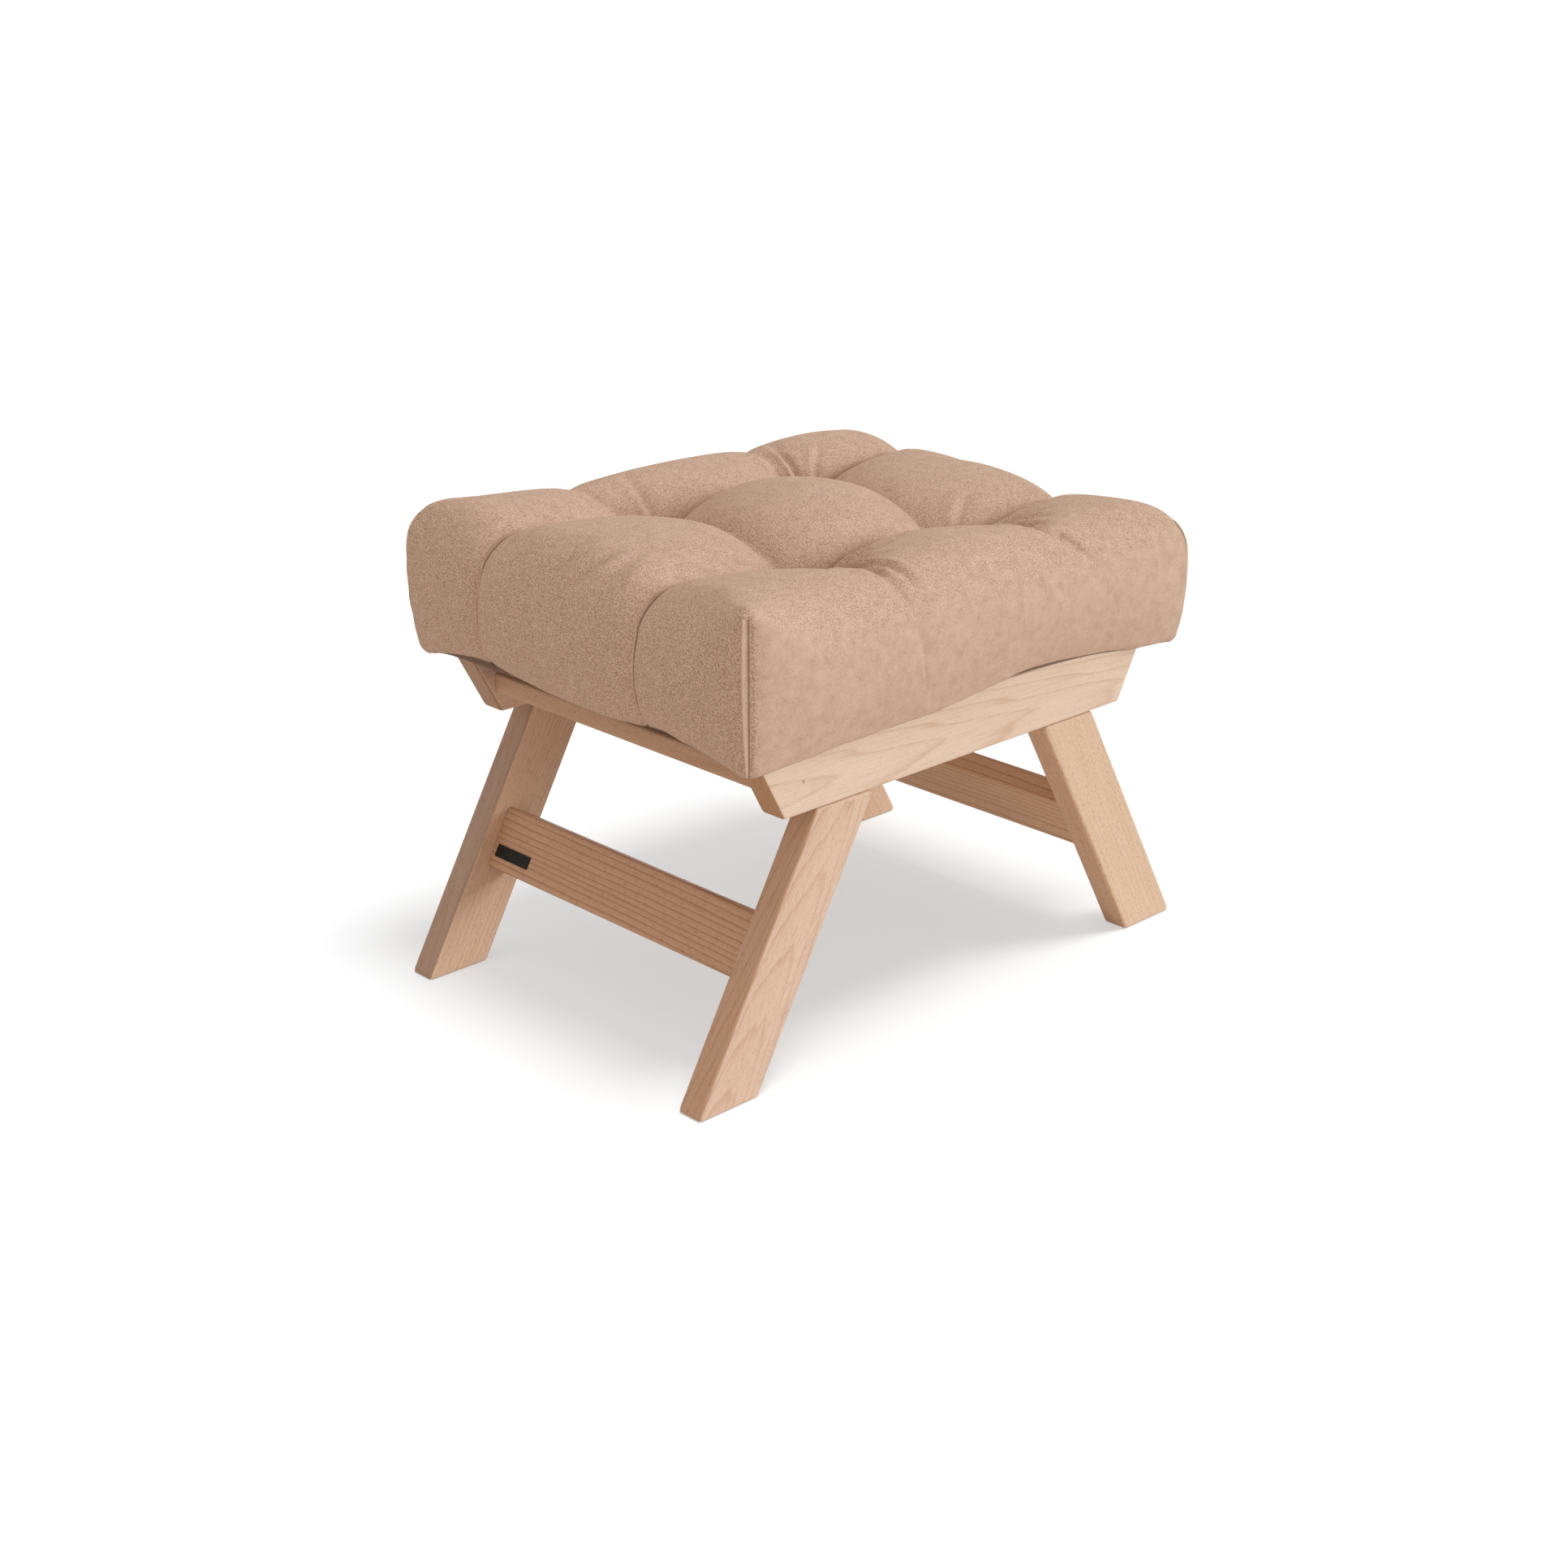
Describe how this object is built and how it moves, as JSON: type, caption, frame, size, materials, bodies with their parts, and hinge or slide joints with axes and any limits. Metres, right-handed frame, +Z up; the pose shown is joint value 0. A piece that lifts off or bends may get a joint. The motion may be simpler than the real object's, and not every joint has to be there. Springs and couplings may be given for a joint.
{
  "type": "footstool",
  "caption": "Tufted boxed cushion lying loose on a beech frame: slatted seat between two rails with slanted ends, splayed legs and end stretchers.",
  "frame": {"origin": "on the floor, under the middle of the four legs", "axes": "+Z up; +X along the side rails, towards the end away from the pictured left end; +Y from the near rail to the far rail"},
  "size_m": [0.5798, 0.4324, 0.4139],
  "materials": {
    "beech": "pale beech, clear matt oil, eased edges",
    "dowel_beech": "bare fluted beech dowel",
    "suede": "matt brushed microsuede, warm beige",
    "lining": "plain woven lining",
    "fibre_fill": "white polyester fibre",
    "twine": "waxed upholstery twine",
    "tag_metal": "dark satin enamel, left blank"
  },
  "bodies": {
    "root": {"cushion_cover_far": "suede", "cushion_cover_middle": "suede", "cushion_cover_near": "suede", "cushion_cover_underside": "lining", "cushion_filling": "fibre_fill", "leg_dowel_far_left_1": "dowel_beech", "leg_dowel_far_left_2": "dowel_beech", "leg_dowel_far_right_1": "dowel_beech", "leg_dowel_far_right_2": "dowel_beech", "leg_dowel_near_left_1": "dowel_beech", "leg_dowel_near_left_2": "dowel_beech", "leg_dowel_near_right_1": "dowel_beech", "leg_dowel_near_right_2": "dowel_beech", "leg_far_left": "beech", "leg_far_right": "beech", "leg_near_left": "beech", "leg_near_right": "beech", "side_rail_far": "beech", "side_rail_near": "beech", "slat_1": "beech", "slat_2": "beech", "slat_3": "beech", "slat_4": "beech", "slat_5": "beech", "slat_dowel_1_far_1": "dowel_beech", "slat_dowel_1_far_2": "dowel_beech", "slat_dowel_1_near_1": "dowel_beech", "slat_dowel_1_near_2": "dowel_beech", "slat_dowel_2_far_1": "dowel_beech", "slat_dowel_2_far_2": "dowel_beech", "slat_dowel_2_near_1": "dowel_beech", "slat_dowel_2_near_2": "dowel_beech", "slat_dowel_3_far_1": "dowel_beech", "slat_dowel_3_far_2": "dowel_beech", "slat_dowel_3_near_1": "dowel_beech", "slat_dowel_3_near_2": "dowel_beech", "slat_dowel_4_far_1": "dowel_beech", "slat_dowel_4_far_2": "dowel_beech", "slat_dowel_4_near_1": "dowel_beech", "slat_dowel_4_near_2": "dowel_beech", "slat_dowel_5_far_1": "dowel_beech", "slat_dowel_5_far_2": "dowel_beech", "slat_dowel_5_near_1": "dowel_beech", "slat_dowel_5_near_2": "dowel_beech", "stretcher_dowel_left_far_1": "dowel_beech", "stretcher_dowel_left_far_2": "dowel_beech", "stretcher_dowel_left_near_1": "dowel_beech", "stretcher_dowel_left_near_2": "dowel_beech", "stretcher_dowel_right_far_1": "dowel_beech", "stretcher_dowel_right_far_2": "dowel_beech", "stretcher_dowel_right_near_1": "dowel_beech", "stretcher_dowel_right_near_2": "dowel_beech", "stretcher_left": "beech", "stretcher_right": "beech", "tuft_tie_1": "twine", "tuft_tie_2": "twine", "tuft_tie_3": "twine", "tuft_tie_4": "twine"}
  },
  "joints": []
}
